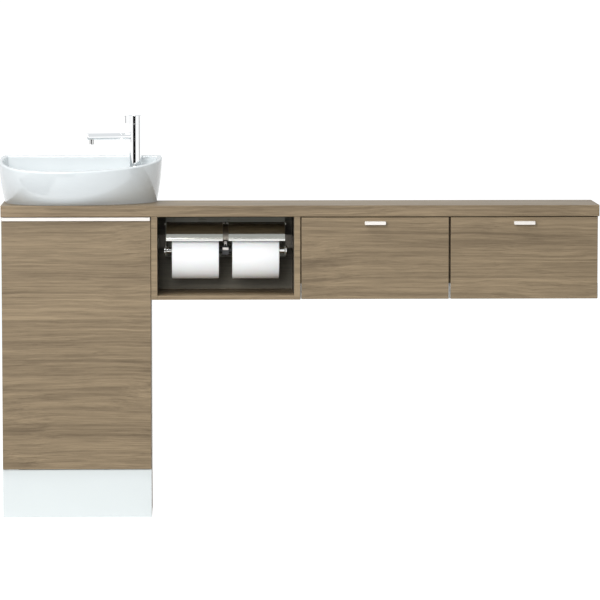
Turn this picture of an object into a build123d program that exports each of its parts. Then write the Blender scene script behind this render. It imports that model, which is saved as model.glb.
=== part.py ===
from build123d import *
import os
from math import cos, radians, sin

os.makedirs("parts", exist_ok=True)

# Frame: x runs along the wall, y = 0 is the wall and the front faces -y, z = 0 is the floor.
# The origin is the back lower left corner of the floor-standing cabinet.

# Counter and the row of units under it
counter_length = 1440.0
counter_depth = 200.0
counter_top = 755.0
counter_thickness = 27.0
counter_edge_round = 2.0
end_overhang = 1.0
unit_count = 4
unit_joint = 0.5
board = 15.0
back_board = 5.5
door_thickness = 18.0
door_setback = 2.0
door_gap = 2.5
edge_round = 1.0

# Floor-standing cabinet
plinth_height = 116.0
plinth_thickness = 12.0
rail_depth = 60.0
front_rail_depth = 40.0
base_catch_inset = 90.0
door_foot_reveal = 2.0
door_head_reveal = 7.0
door_side_reveal = 0.5

# Wall-hung units
hung_height = 200.0
niche_floor = 10.0
flap_foot_reveal = 1.0
flap_head_reveal = 2.0
flap_end_reveal = 2.2

# Pivot brackets and their pins
pivot_sheet = 1.5
pivot_inset = 5.0
pivot_play = 0.3
pivot_pin_radius = 2.0
pin_clearance = 0.05
pivot_pin_length = 12.0
pivot_leaf_start = 18.0
pivot_leaf_width = 20.0
pivot_leaf_depth = 26.0

# Pulls and catches
strip_height = 6.0
strip_reach = 8.0
strip_sheet = 2.0
strip_land = 6.0
strip_end_inset = 1.5
tab_width = 51.0
tab_height = 8.5
tab_reach = 14.0
tab_head_gap = 9.0
magnet_width = 45.0
magnet_depth = 15.0
magnet_height = 12.0
strike_width = 36.0
strike_height = 14.0
strike_sheet = 1.5
catch_air = 0.3

# Vessel basin
basin_overhang = 9.0
basin_right_overhang = 29.0
basin_depth = 229.0
basin_wall_gap = 0.5
rim_back = 112.0
rim_front = 83.0
rim_width = 13.0
rim_round = 4.0
basin_foot_left = 16.0
basin_foot_right = 14.0
basin_foot_front = 44.0
basin_foot_back = 4.0
belly_height = 42.0
belly_left = 7.0
belly_right = 6.0
belly_front = 9.0
belly_back = 2.0
bowl_floor = 20.0
bowl_floor_round = 14.0
bowl_foot_left = 40.0
bowl_foot_right = 36.0
bowl_foot_front = 52.0
bowl_foot_back = 24.0
bowl_swell_height = 34.0
bowl_swell_left = 20.0
bowl_swell_right = 19.0
bowl_swell_front = 24.0
bowl_swell_back = 16.0
deck_height = 74.0
deck_right_gap = 148.0
deck_back_gap = 24.0
deck_turn = 45.0
deck_slope_run = 26.0
deck_crest_round = 9.0
deck_shell = 12.0
cutter_spare = 20.0

# Drain and trap
drain_deck_gap = 54.0
drain_y = 103.0
drain_bore = 17.0
drain_wall = 2.5
drain_flange_radius = 23.0
drain_flange_sheet = 2.0
drain_flange_air = 0.6
drain_recess_radius = 33.0
drain_recess_depth = 5.0
drain_hole_clearance = 0.6
drain_tube_drop = 34.0
lock_nut_radius = 28.0
lock_nut_height = 9.0
pipe_radius = 16.0
pipe_wall = 1.4
pipe_fit = 0.3
tailpiece_lap = 20.0
trap_bend_radius = 30.0
trap_head_gap = 168.0
trap_leg = 42.0
arm_rise = 46.0
arm_bend_radius = 38.0
slip_nut_radius = 22.5
slip_nut_height = 18.0
nut_ribs = 12
escutcheon_radius = 35.0
escutcheon_depth = 9.0

# Tap
tap_right_gap = 68.0
tap_y = 62.0
tap_radius = 15.5
tap_height = 138.0
tap_flange_radius = 21.0
tap_flange_height = 5.0
tap_cap_height = 20.5
tap_cap_gap = 0.5
tap_stem_radius = 5.0
tap_stem_length = 12.0
lever_width = 10.0
lever_reach = 11.0
lever_height = 18.0
lever_round = 2.5
spout_radius = 7.9
spout_wall = 1.3
spout_length = 122.0
spout_drop = 51.0
spout_turn = 17.0
spout_seat = 4.0
aerator_radius = 6.2
aerator_length = 11.0
aerator_inset = 12.5
shank_radius = 10.5
shank_clearance = 2.0
shank_length = 58.0
waterway_radius = 5.0
waterway_height = 16.0
tap_nut_radius = 16.0
tap_nut_height = 8.0

# Water supply
valve_side_gap = 54.0
valve_height = 480.0
valve_reach = 46.0
valve_body_radius = 11.0
valve_outlet_length = 34.0
valve_bonnet_length = 18.0
valve_spindle_radius = 3.5
valve_neck_step = 2.0
valve_knob_air = 1.0
knob_radius = 19.0
knob_length = 13.0
knob_recess = 1.5
knob_lobes = 6
knob_lobe_radius = 5.0
supply_radius = 6.0
supply_bore = 4.5
supply_bend = 60.0
supply_nut_radius = 13.0
supply_nut_height = 14.0

# Paper holder
paper_radius = 58.5
core_bore = 19.0
core_sheet = 1.2
paper_middle_gap = 32.0
paper_end_gap = 15.5
roll_axis_depth = 106.0
spindle_head_gap = 87.0
spindle_radius = 8.0
spindle_air = 0.3
spindle_grip = 16.0
cover_lip_height = 29.0
cover_reach = 64.0
cover_round = 42.0
cover_lip_angle = 8.0
cover_crown_angle = 93.5
cover_top_run = 46.0
cover_sheet = 1.2
cover_bead = 2.2
holder_side_gap = 19.0
rib_width = 13.0
rib_air = 0.5
rib_rod_gap = 1.0
hinge_rod_radius = 2.5
rod_end_stand = 2.0
knuckle_sheet = 1.5
holder_sheet = 2.0
holder_back_depth = 38.0
back_foot_drop = 21.0
back_head_gap = 12.0
holder_lip = 6.0
arm_foot_drop = 7.0
arm_head_rise = 49.0
arm_nose = 14.0
arm_nose_high = 10.0
arm_nose_low = 12.0
arm_chin = 16.0
arm_hinge_margin = 6.0
arm_corner_round = 4.0
centre_arm_sheet = 3.0
wing_height = 32.0
wing_head_rise = 32.0
wing_flange = 26.0
block_width = 16.0
block_height = 22.0
block_depth = 36.0
tip_head_radius = 11.0
tip_head = 2.5


# Sizes that follow from those above
unit_pitch = (counter_length - 2 * end_overhang) / unit_count
unit_width = unit_pitch - unit_joint
counter_foot = counter_top - counter_thickness
hung_foot = counter_foot - hung_height
door_front = counter_depth - door_setback
door_back = door_front - door_thickness
carcass_depth = door_back - door_gap
pin_bore_radius = pivot_pin_radius + pin_clearance
basin_left = -end_overhang - basin_overhang
basin_width = unit_width + basin_right_overhang - basin_left
deck_edge_x = basin_width - deck_right_gap
drain_x = deck_edge_x - drain_deck_gap
tap_x = basin_width - tap_right_gap
valve_x = unit_width - board - valve_side_gap
trap_joint_height = counter_foot - trap_head_gap
cover_span = unit_width - 2 * (board + holder_side_gap)
paper_width = (cover_span - paper_middle_gap) / 2 - paper_end_gap
paper_spacing = paper_width + paper_middle_gap
spindle_y = -roll_axis_depth
spindle_height = counter_foot - spindle_head_gap
roll_z = spindle_height - (core_bore - spindle_radius - spindle_air)
niche_left = unit_pitch
niche_middle = niche_left + unit_width / 2
tap_at = Vector(basin_left + tap_x, -tap_y, 0)
drain_at = Vector(basin_left + drain_x, -drain_y, 0)
deck_z = counter_top + deck_height
plinth_back = -carcass_depth
plinth_front = plinth_back - plinth_thickness
base_catch_x = unit_width - base_catch_inset
drain_tube_radius = drain_bore + drain_wall
drain_hole_radius = drain_tube_radius + drain_hole_clearance
counter_tap_hole = tap_nut_radius + shank_clearance
waste_x = drain_at.X - 2 * trap_bend_radius
waste_z = trap_joint_height + arm_rise
spout_z = deck_z + tap_height - spout_drop
cover_centre = Vector(
    0,
    spindle_y - cover_reach + cover_round * cos(radians(cover_lip_angle)),
    spindle_height + cover_lip_height - cover_round * sin(radians(cover_lip_angle)),
)
crown_turn = radians(cover_crown_angle)
crown_radius = cover_round - cover_sheet / 2
hinge_at = cover_centre + Vector(
    0,
    cover_top_run * sin(crown_turn) - crown_radius * cos(crown_turn),
    cover_top_run * cos(crown_turn) + crown_radius * sin(crown_turn),
)
knuckle_radius = hinge_rod_radius + pin_clearance + knuckle_sheet
holder_left = niche_middle - cover_span / 2
holder_right = niche_middle + cover_span / 2
arm_bore = spindle_radius + pin_clearance


def block(x0, x1, y0, y1, z0, z1):
    return Pos((x0 + x1) / 2, (y0 + y1) / 2, (z0 + z1) / 2) * Box(
        abs(x1 - x0), abs(y1 - y0), abs(z1 - z0)
    )


def rounded(solid, radius, axis=None):
    edges = solid.edges().filter_by(axis) if axis else solid.edges()
    return fillet(edges, radius)


def rod(start, end, radius):
    start = Vector(*start)
    run = Vector(*end) - start
    return extrude(Plane(origin=start, z_dir=run) * Circle(radius), amount=run.length)


def pipe(path, radius, bore):
    start = Plane(origin=path @ 0, z_dir=path % 0)
    return sweep(start * (Circle(radius) - Circle(bore)), path=path)


def turned(points, axis_x, axis_y):
    outline = Polyline(*[(r, z) for r, z in points], close=True)
    profile = Plane.XZ * make_face(outline)
    return Pos(axis_x, axis_y, 0) * revolve(profile, Axis.Z)


def save(name, shape):
    export_step(shape, f"parts/{name}.step")


# Counter

def counter():
    ends = (-end_overhang, counter_length - end_overhang)
    slab = block(*ends, -counter_depth, 0, counter_foot, counter_top)
    front = slab.edges().filter_by(Axis.X).group_by(Axis.Y)[0]
    sides = slab.edges().filter_by(Axis.Z).group_by(Axis.Y)[0]
    slab = fillet(front + sides, counter_edge_round)
    for centre, radius in ((drain_at, drain_hole_radius), (tap_at, counter_tap_hole)):
        slab -= Pos(centre.X, centre.Y, counter_top - counter_thickness / 2) * Cylinder(
            radius, 2 * counter_thickness
        )
    return slab


# Pivot brackets
# Each works in a frame of its own: u runs across the door from its hinged edge, v out to the
# front from the carcass's front plane, and w along the pin from the panel's outer face inwards.

def local_block(frame, u, v, w):
    origin, along_u, along_v, along_w = frame
    near = origin + along_u * u[0] + along_v * v[0] + along_w * w[0]
    far = origin + along_u * u[1] + along_v * v[1] + along_w * w[1]
    return block(near.X, far.X, near.Y, far.Y, near.Z, far.Z)


def local_rod(frame, u, v, w, radius):
    origin, along_u, along_v, along_w = frame
    foot = origin + along_u * u + along_v * v
    return rod(foot + along_w * w[0], foot + along_w * w[1], radius)


def pivot_bracket(frame, edge_reveal, end_reveal):
    pin_u = edge_reveal + pivot_inset
    pin_v = door_gap + pivot_inset
    plate = (end_reveal - pivot_play - pivot_sheet, end_reveal - pivot_play)
    leaf = (pivot_leaf_start, pivot_leaf_start + pivot_leaf_width)
    inner = local_block(frame, leaf, (-pivot_leaf_depth, 0), (board, board + pivot_sheet))
    bridge = local_block(frame, leaf, (0, pivot_sheet), (plate[0], board + pivot_sheet))
    nose = local_block(frame, (pin_u, leaf[1]), (0, pin_v + pivot_inset), plate)
    nose += local_rod(frame, pin_u, pin_v, plate, pivot_inset)
    reach = (plate[0], end_reveal + pivot_pin_length)
    pin = local_rod(frame, pin_u, pin_v, reach, pivot_pin_radius)
    return inner + bridge + nose + pin


def pivot_bore(frame, edge_reveal, end_reveal):
    depth = (end_reveal - 1, end_reveal + pivot_pin_length + 1)
    u, v = edge_reveal + pivot_inset, door_gap + pivot_inset
    return local_rod(frame, u, v, depth, pin_bore_radius)


# Floor-standing cabinet

right, out, up = Vector(1, 0, 0), Vector(0, -1, 0), Vector(0, 0, 1)
base_foot_frame = (Vector(0, -carcass_depth, plinth_height), right, out, up)
base_head_frame = (Vector(0, -carcass_depth, counter_foot), right, out, -up)


def side_panel(x, depth, foot):
    return block(x, x + board, -depth, 0, foot, counter_foot)


def base_door():
    foot = plinth_height + door_foot_reveal
    head = counter_foot - door_head_reveal
    ends = (door_side_reveal, unit_width - door_side_reveal)
    panel = block(*ends, -door_front, -door_back, foot, head)
    panel = rounded(panel, edge_round)
    panel -= pivot_bore(base_foot_frame, door_side_reveal, door_foot_reveal)
    panel -= pivot_bore(base_head_frame, door_side_reveal, door_head_reveal)
    return panel


def base_door_pull():
    foot = counter_foot - door_head_reveal
    head = foot + strip_height
    nose = -door_front - strip_reach
    land = -door_front + strip_land
    with BuildSketch(Plane.YZ) as section:
        with BuildLine():
            Polyline(
                (land, foot),
                (land, foot + strip_sheet),
                (-door_front + strip_sheet, foot + strip_sheet),
                (-door_front + strip_sheet, head),
                (nose, head),
                (nose, foot - strip_sheet),
                (nose + strip_sheet, foot - strip_sheet),
                (nose + strip_sheet, foot + strip_sheet),
                (-door_front, foot + strip_sheet),
                (-door_front, foot),
                close=True,
            )
        make_face()
        tips = section.vertices().filter_by(lambda v: abs(v.Y - nose) < strip_sheet / 2)
        fillet(tips, strip_sheet / 2 - 0.1)
    start = door_side_reveal + strip_end_inset
    length = unit_width - 2 * start
    return extrude(Pos(start, 0, 0) * section.sketch, amount=length)


def magnet(middle_x):
    top = counter_foot - board
    return block(
        middle_x - magnet_width / 2, middle_x + magnet_width / 2,
        -door_back + strike_sheet + catch_air, -carcass_depth + magnet_depth,
        top - magnet_height, top,
    )


def strike(middle_x):
    middle_z = counter_foot - board - magnet_height / 2
    plate = block(
        middle_x - strike_width / 2, middle_x + strike_width / 2,
        -door_back, -door_back + strike_sheet,
        middle_z - strike_height / 2, middle_z + strike_height / 2,
    )
    return rounded(plate, 2.5, Axis.Y)


def floor_cabinet():
    inner = (board, unit_width - board)
    save("base_left_side", side_panel(0, carcass_depth, 0))
    save("base_right_side", side_panel(unit_width - board, carcass_depth, 0))
    save("base_bottom", block(*inner, -carcass_depth, 0, plinth_height, plinth_height + board))
    rail_low = plinth_height + board
    low = block(*inner, -board, 0, rail_low, rail_low + rail_depth)
    high = block(*inner, -board, 0, counter_foot - rail_depth, counter_foot)
    save("base_back_rails", Compound(children=[low, high]))
    save("base_front_rail", block(
        *inner, -carcass_depth, -carcass_depth + front_rail_depth,
        counter_foot - board, counter_foot,
    ))
    board_front = block(0, unit_width, plinth_front, plinth_back, 0, plinth_height)
    save("plinth", rounded(board_front, edge_round, Axis.Z))
    save("base_door", base_door())
    save("base_door_pull", base_door_pull())
    save("base_door_strike", strike(base_catch_x))


# Open niche for the paper holder

def niche():
    left, right = niche_left, niche_left + unit_width
    inner = (left + board, right - board)
    for name, x in (("niche_left_side", left), ("niche_right_side", right - board)):
        panel = side_panel(x, door_front, hung_foot)
        front = panel.edges().filter_by(Axis.Z).group_by(Axis.Y)[0]
        save(name, fillet(front, edge_round))
    save("niche_floor", block(*inner, -door_front, 0, hung_foot, hung_foot + niche_floor))
    save("niche_back", block(*inner, -back_board, 0, hung_foot + niche_floor, counter_foot))


# Wall-hung cabinets with drop fronts

def flap_frame(left, right_end):
    if right_end:
        return (Vector(left + unit_width, -carcass_depth, hung_foot), up, out, -right)
    return (Vector(left, -carcass_depth, hung_foot), up, out, right)


def flap(left):
    foot = hung_foot + flap_foot_reveal
    head = counter_foot - flap_head_reveal
    panel = block(
        left + flap_end_reveal, left + unit_width - flap_end_reveal,
        -door_front, -door_back, foot, head,
    )
    panel = rounded(panel, edge_round)
    for right_end in (False, True):
        panel -= pivot_bore(flap_frame(left, right_end), flap_foot_reveal, flap_end_reveal)
    return panel


def tab(left):
    middle = left + unit_width / 2
    top = counter_foot - flap_head_reveal - tab_head_gap
    bar = block(
        middle - tab_width / 2, middle + tab_width / 2,
        -door_front - tab_reach, -door_front, top - tab_height, top,
    )
    bar = rounded(bar, 2.0, Axis.Y)
    grip = block(
        middle - tab_width / 2 + 4, middle + tab_width / 2 - 4,
        -door_front - tab_reach + 3.5, -door_front - 3, top - tab_height - 1, top - 3,
    )
    bar -= grip
    front = bar.faces().sort_by(Axis.Y)[0].outer_wire().edges()
    return fillet(front, 0.8)


def hung_cabinet(name, left):
    right = left + unit_width
    inner = (left + board, right - board)
    save(f"{name}_left_side", side_panel(left, carcass_depth, hung_foot))
    save(f"{name}_right_side", side_panel(right - board, carcass_depth, hung_foot))
    save(f"{name}_floor", block(*inner, -carcass_depth, 0, hung_foot, hung_foot + board))
    save(f"{name}_back", block(*inner, -back_board, 0, hung_foot + board, counter_foot))
    save(f"{name}_flap", flap(left))
    save(f"{name}_tab", tab(left))
    save(f"{name}_strike", strike(left + unit_width / 2))


def top_rails(left):
    inner = (left + board, left + unit_width - board)
    top = (counter_foot - board, counter_foot)
    front = block(*inner, -carcass_depth, -carcass_depth + front_rail_depth, *top)
    back = block(*inner, -back_board - rail_depth, -back_board, *top)
    return [front, back]


# Basin
# Its outline in plan is one spline from the left end of the flat back round to the right end.
# Each point is a share of the width from the left and of the depth from the back.

def basin_outline(height, left, right, front, back):
    width = basin_width - left - right
    depth = basin_depth - front - back
    shares = (
        (0.02, 0), (0, 0.42), (0.115, 0.84), (0.385, 1),
        (0.665, 0.885), (0.875, 0.62), (0.985, 0.27), (0.985, 0),
    )
    points = [
        (basin_left + left + a * width, -basin_wall_gap - back - b * depth, counter_top + height)
        for a, b in shares
    ]
    return make_face([Spline(*points), Line(points[-1], points[0])])


def basin_loft(inset, foot, head):
    return loft([
        basin_outline(
            foot, basin_foot_left + inset, basin_foot_right + inset,
            basin_foot_front + inset, basin_foot_back + inset,
        ),
        basin_outline(
            belly_height, belly_left + inset, belly_right + inset,
            belly_front + inset, belly_back + inset,
        ),
        basin_outline(head, inset, inset, inset, inset),
    ])


def deck_wedge(shift, top, foot, round_radius=0):
    turn = radians(deck_turn)
    across = Vector(cos(turn), sin(turn), 0)
    edge = Vector(basin_left + deck_edge_x, -basin_wall_gap - deck_back_gap, counter_top)
    plane = Plane(origin=edge + across * shift, x_dir=across, z_dir=across.cross(Vector(0, 0, 1)))
    far = basin_width
    run = deck_slope_run * (top - foot) / (deck_height - bowl_floor)
    low = foot - 5
    outline = make_face(
        Polyline((0, top), (far, top), (far, low), (-run, low), (-run, foot), close=True)
    )
    if round_radius:
        crest = outline.vertices().sort_by_distance((0, top, 0))[:1]
        outline = fillet(crest, round_radius)
    return extrude(plane * outline, amount=basin_width, both=True)


def rim_cutter():
    slope = (rim_back - rim_front) / basin_depth
    spare = cutter_spare
    back = (spare, counter_top + rim_back + slope * spare)
    front_y = -basin_wall_gap - basin_depth - spare
    front = (front_y, counter_top + rim_front - slope * spare)
    high = counter_top + rim_back + 3 * spare
    outline = make_face(Polyline(front, back, (spare, high), (front_y, high), close=True))
    start = Plane(origin=(basin_left - spare, 0, 0), x_dir=(0, 1, 0), z_dir=(1, 0, 0))
    return extrude(start * outline, amount=basin_width + 2 * spare)


def basin():
    above = rim_back + 8
    outer = basin_loft(0, 0, above)
    bowl = loft([
        basin_outline(
            bowl_floor, bowl_foot_left, bowl_foot_right, bowl_foot_front, bowl_foot_back,
        ),
        basin_outline(
            bowl_floor + bowl_swell_height,
            bowl_swell_left, bowl_swell_right, bowl_swell_front, bowl_swell_back,
        ),
        basin_outline(above, rim_width, rim_width, rim_width, rim_width),
    ])
    bowl -= deck_wedge(0, deck_height, bowl_floor, deck_crest_round)
    floor_z = counter_top + bowl_floor
    foot = bowl.edges().filter_by(lambda e: abs(e.center().Z - floor_z) < 0.5 and e.bounding_box().size.Z < 0.5)
    bowl = fillet(foot, bowl_floor_round)
    body = outer - rim_cutter() - bowl
    rim = body.faces().filter_by(GeomType.PLANE).filter_by(
        lambda f: f.normal_at().Z > 0.9 and f.center().Z > counter_top + rim_front - 2
    ).sort_by(SortBy.AREA)[-1]
    body = fillet(rim.edges(), rim_round)
    hollow = basin_loft(deck_shell, -1, above) & deck_wedge(deck_shell, deck_height - deck_shell, -1)
    body -= hollow
    body -= Pos(drain_at.X, drain_at.Y, floor_z) * Cylinder(drain_hole_radius, 3 * bowl_floor)
    seat_radius = drain_flange_radius + drain_flange_air
    dish_slope = (drain_recess_radius - seat_radius) / drain_recess_depth
    body -= Pos(drain_at.X, drain_at.Y, floor_z - drain_recess_depth) * Cone(
        seat_radius, drain_recess_radius + dish_slope,
        drain_recess_depth + 1, align=(Align.CENTER, Align.CENTER, Align.MIN),
    )
    body -= Pos(tap_at.X, tap_at.Y, deck_z) * Cylinder(shank_radius + shank_clearance, 4 * deck_shell)
    return body


# Drain, trap and waste

def drain_flange():
    top = counter_top + bowl_floor - drain_recess_depth + drain_flange_sheet
    low = counter_foot - drain_tube_drop
    body = turned(
        [
            (drain_bore, low), (drain_tube_radius, low),
            (drain_tube_radius, top - drain_flange_sheet),
            (drain_flange_radius, top - drain_flange_sheet),
            (drain_flange_radius, top - 1), (drain_flange_radius - 1, top),
            (drain_bore + 1, top), (drain_bore, top - 1),
        ],
        drain_at.X, drain_at.Y,
    )
    return body


def ring_nut(x, y, z0, height, radius, bore, sides=0):
    if sides:
        section = RegularPolygon(radius, sides) - Circle(bore)
    else:
        section = Circle(radius) - Circle(bore)
    return Pos(x, y, z0) * extrude(section, amount=height)


def ribbed_nut(x, y, z0, height, radius, bore, ribs):
    section = Circle(radius) - Circle(bore)
    section += PolarLocations(radius, ribs) * Rectangle(3.0, 3.5)
    return Pos(x, y, z0) * extrude(section, amount=height)


def tailpiece():
    x, y = drain_at.X, drain_at.Y
    top = counter_foot - drain_tube_drop + tailpiece_lap
    path = Line((x, y, top), (x, y, trap_joint_height))
    return pipe(path, pipe_radius, pipe_radius - pipe_wall)


def trap_bend():
    x, y = drain_at.X, drain_at.Y
    far = x - 2 * trap_bend_radius
    low = trap_joint_height - trap_leg
    down = Line((x, y, trap_joint_height), (x, y, low))
    turn = ThreePointArc((x, y, low), (x - trap_bend_radius, y, low - trap_bend_radius), (far, y, low))
    up = Line((far, y, low), (far, y, trap_joint_height))
    return pipe(Wire([down, turn, up]), pipe_radius, pipe_radius - pipe_wall)


def waste_arm():
    x, y = drain_at.X - 2 * trap_bend_radius, drain_at.Y
    top = trap_joint_height + arm_rise
    path = FilletPolyline((x, y, trap_joint_height), (x, y, top), (x, 0, top), radius=arm_bend_radius)
    return pipe(path, pipe_radius, pipe_radius - pipe_wall)


def pipe_nuts():
    x, y = drain_at.X, drain_at.Y
    far = x - 2 * trap_bend_radius
    low = trap_joint_height - slip_nut_height / 2
    bore = pipe_radius + pipe_fit
    slip = [
        ribbed_nut(at, y, low, slip_nut_height, slip_nut_radius, bore, nut_ribs)
        for at in (x, far)
    ]
    half = slip_nut_height / 2
    middle = counter_foot - drain_tube_drop
    collar = ring_nut(x, y, middle - half - 2, half + 2, slip_nut_radius, bore)
    collar += ribbed_nut(
        x, y, middle, half, slip_nut_radius + 2, drain_tube_radius + pipe_fit, nut_ribs
    )
    return slip + [collar]


def escutcheon(x, z, bore):
    plate = turned(
        [
            (bore, 0), (escutcheon_radius, 0), (escutcheon_radius, 1.5),
            (escutcheon_radius - 10, escutcheon_depth - 2),
            (bore + 2, escutcheon_depth), (bore, escutcheon_depth),
        ],
        0, 0,
    )
    return Pos(x, 0, z) * Rot(90, 0, 0) * plate


# Tap

def tap_body():
    top = deck_z + tap_height - tap_cap_height - tap_cap_gap
    low = deck_z - shank_length
    body = turned(
        [
            (waterway_radius, low), (shank_radius, low), (shank_radius, deck_z),
            (tap_flange_radius, deck_z), (tap_flange_radius, deck_z + tap_flange_height - 2),
            (tap_flange_radius - 2, deck_z + tap_flange_height), (tap_radius, deck_z + tap_flange_height),
            (tap_radius, top - 0.6), (tap_radius - 0.6, top), (tap_stem_radius, top),
            (tap_stem_radius, top + tap_stem_length), (0, top + tap_stem_length),
            (0, deck_z + waterway_height + waterway_radius), (waterway_radius, deck_z + waterway_height),
        ],
        tap_at.X, tap_at.Y,
    )
    socket = rod(spout_point(tap_radius - spout_seat), spout_point(2 * tap_radius), spout_radius)
    return body - socket


def spout_point(distance, z=0):
    turn = radians(spout_turn)
    return Vector(tap_at.X - distance * cos(turn), tap_at.Y - distance * sin(turn), spout_z + z)


def tap_spout():
    start = spout_point(tap_radius - spout_seat)
    end = spout_point(spout_length)
    tube = rod(start, end, spout_radius)
    tube -= rod(start, spout_point(spout_length - 3), spout_radius - spout_wall)
    tip = tube.faces().sort_by_distance(end)[0].outer_wire().edges()
    tube = fillet(tip, 1.5)
    outlet = spout_point(spout_length - aerator_inset)
    tube -= rod(outlet, outlet - Vector(0, 0, 2 * spout_radius), aerator_radius - 1.5)
    seat_top = outlet - Vector(0, 0, spout_radius - 1.5)
    return tube - rod(seat_top, outlet - Vector(0, 0, 2 * spout_radius), aerator_radius)


def tap_aerator():
    outlet = spout_point(spout_length - aerator_inset)
    top = outlet.Z - spout_radius + 1.5
    low = outlet.Z - spout_radius - aerator_length
    sleeve = turned(
        [
            (aerator_radius - 1.5, low), (aerator_radius - 0.8, low), (aerator_radius, low + 1),
            (aerator_radius, top), (aerator_radius - 1.5, top),
        ],
        outlet.X, outlet.Y,
    )
    mesh = Cylinder(aerator_radius - 1, 1.2) - GridLocations(2.6, 2.6, 3, 3) * Cylinder(0.9, 3)
    return sleeve + Pos(outlet.X, outlet.Y, low + 2) * mesh


def tap_handle():
    low = deck_z + tap_height - tap_cap_height
    cap = Pos(tap_at.X, tap_at.Y, low) * Cylinder(
        tap_radius, tap_cap_height, align=(Align.CENTER, Align.CENTER, Align.MIN)
    )
    lever = Box(
        tap_radius + lever_reach, lever_width, lever_height,
        align=(Align.MAX, Align.CENTER, Align.MIN),
    )
    nose = lever.edges().filter_by(Axis.Y).group_by(Axis.X)[0]
    nose += lever.edges().filter_by(Axis.Z).group_by(Axis.X)[0]
    lever = fillet(nose, lever_round)
    cap += Pos(tap_at.X, tap_at.Y, low + 1.2) * Rot(0, 0, spout_turn) * lever
    top = cap.faces().filter_by(Axis.Z).sort_by(Axis.Z)[-1].edges()
    cap = fillet(top, 1.2)
    bore = Pos(tap_at.X, tap_at.Y, low) * Cylinder(
        tap_stem_radius + pin_clearance, 2 * (tap_stem_length + 1)
    )
    return cap - bore


# Water supply

def supply_path():
    x, y = valve_x, -valve_reach
    start = valve_height + valve_outlet_length
    end = deck_z - shank_length
    third = (end - start) / 3
    return FilletPolyline(
        (x, y, start), (x, y, start + third),
        (tap_at.X, tap_at.Y, end - third), (tap_at.X, tap_at.Y, end),
        radius=supply_bend,
    )


def stop_valve():
    x, y, z = valve_x, -valve_reach, valve_height
    neck = valve_body_radius - valve_neck_step
    body = rod((x, 0, z), (x, y, z), neck)
    body += Pos(x, y, z) * Sphere(valve_body_radius + valve_neck_step)
    body += rod((x, y, z), (x, y, z + valve_outlet_length), neck)
    body += rod((x, y, z), (x, y - valve_bonnet_length, z), valve_body_radius - valve_neck_step / 2)
    body += rod((x, y, z), (x, y - valve_bonnet_length - knob_length, z), valve_spindle_radius)
    body -= rod((x, 1, z), (x, y, z), supply_bore)
    body -= rod((x, y, z), (x, y, z + valve_outlet_length + 1), supply_bore)
    return body


def stop_valve_knob():
    section = Circle(knob_radius - knob_lobe_radius)
    section += PolarLocations(knob_radius - knob_lobe_radius, knob_lobes) * Circle(knob_lobe_radius)
    section -= Circle(valve_spindle_radius + pin_clearance)
    knob = extrude(section, amount=knob_length - knob_recess)
    rim = knob.faces().filter_by(Axis.Z).sort_by(Axis.Z)[-1].outer_wire().edges()
    knob = fillet(rim, 1.0)
    front = -valve_reach - valve_bonnet_length - valve_knob_air
    return Pos(valve_x, front, valve_height) * Rot(90, 0, 0) * knob


def supply_nuts():
    low = valve_height + valve_outlet_length - supply_nut_height / 2
    high = deck_z - shank_length - supply_nut_height / 2
    return [
        supply_nut(valve_x, -valve_reach, low, valve_body_radius - valve_neck_step, True),
        supply_nut(tap_at.X, tap_at.Y, high, shank_radius, False),
    ]


def supply_nut(x, y, z0, thread_radius, tube_above):
    half = supply_nut_height / 2
    wide = extrude(RegularPolygon(supply_nut_radius, 6) - Circle(thread_radius + pipe_fit), amount=half)
    narrow = extrude(RegularPolygon(supply_nut_radius, 6) - Circle(supply_radius + pipe_fit), amount=half)
    if tube_above:
        return Pos(x, y, z0) * (wide + Pos(0, 0, half) * narrow)
    return Pos(x, y, z0) * (narrow + Pos(0, 0, half) * wide)


# Paper holder

def on_cover(radius, angle):
    turn = radians(angle)
    return cover_centre + Vector(0, -radius * cos(turn), radius * sin(turn))


def cover_strip(x0, x1, sheet, lip_angle, top_run):
    middle = (lip_angle + cover_crown_angle) / 2
    back = Vector(0, sin(radians(cover_crown_angle)), cos(radians(cover_crown_angle))) * top_run
    edges = []
    ends = []
    for r in (cover_round, cover_round - sheet):
        crown = on_cover(r, cover_crown_angle)
        edges.append(ThreePointArc(on_cover(r, lip_angle), on_cover(r, middle), crown))
        edges.append(Line(crown, crown + back))
        ends.append((on_cover(r, lip_angle), crown + back))
    edges.append(Line(ends[0][0], ends[1][0]))
    edges.append(Line(ends[0][1], ends[1][1]))
    return Pos(x0, 0, 0) * extrude(make_face(edges), amount=x1 - x0, dir=(1, 0, 0))


def cover(x0, x1):
    plate = cover_strip(x0, x1, cover_sheet, cover_lip_angle, cover_top_run - hinge_rod_radius - knuckle_sheet)
    nose = on_cover(cover_round - cover_sheet / 2, cover_lip_angle)
    plate += rod((x0, nose.Y, nose.Z), (x1, nose.Y, nose.Z), cover_bead)
    plate += rod((x0, hinge_at.Y, hinge_at.Z), (x1, hinge_at.Y, hinge_at.Z), knuckle_radius)
    plate -= rod((x0 - 1, hinge_at.Y, hinge_at.Z), (x1 + 1, hinge_at.Y, hinge_at.Z), hinge_rod_radius + pin_clearance)
    return plate


def arm_profile():
    back = -holder_back_depth
    nose = spindle_y - arm_nose
    outline = Polyline(
        (back, spindle_height - arm_foot_drop),
        (back, spindle_height + arm_head_rise),
        (hinge_at.Y + arm_hinge_margin, hinge_at.Z + arm_hinge_margin),
        (hinge_at.Y - arm_hinge_margin, hinge_at.Z + arm_hinge_margin),
        (hinge_at.Y - 1.5 * arm_hinge_margin, hinge_at.Z - arm_hinge_margin),
        (nose, spindle_height + arm_nose_high),
        (nose, spindle_height - arm_nose_low),
        (spindle_y, spindle_height - arm_chin),
        close=True,
    )
    face = make_face(outline)
    return fillet(face.vertices()[2:], arm_corner_round)


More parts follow.
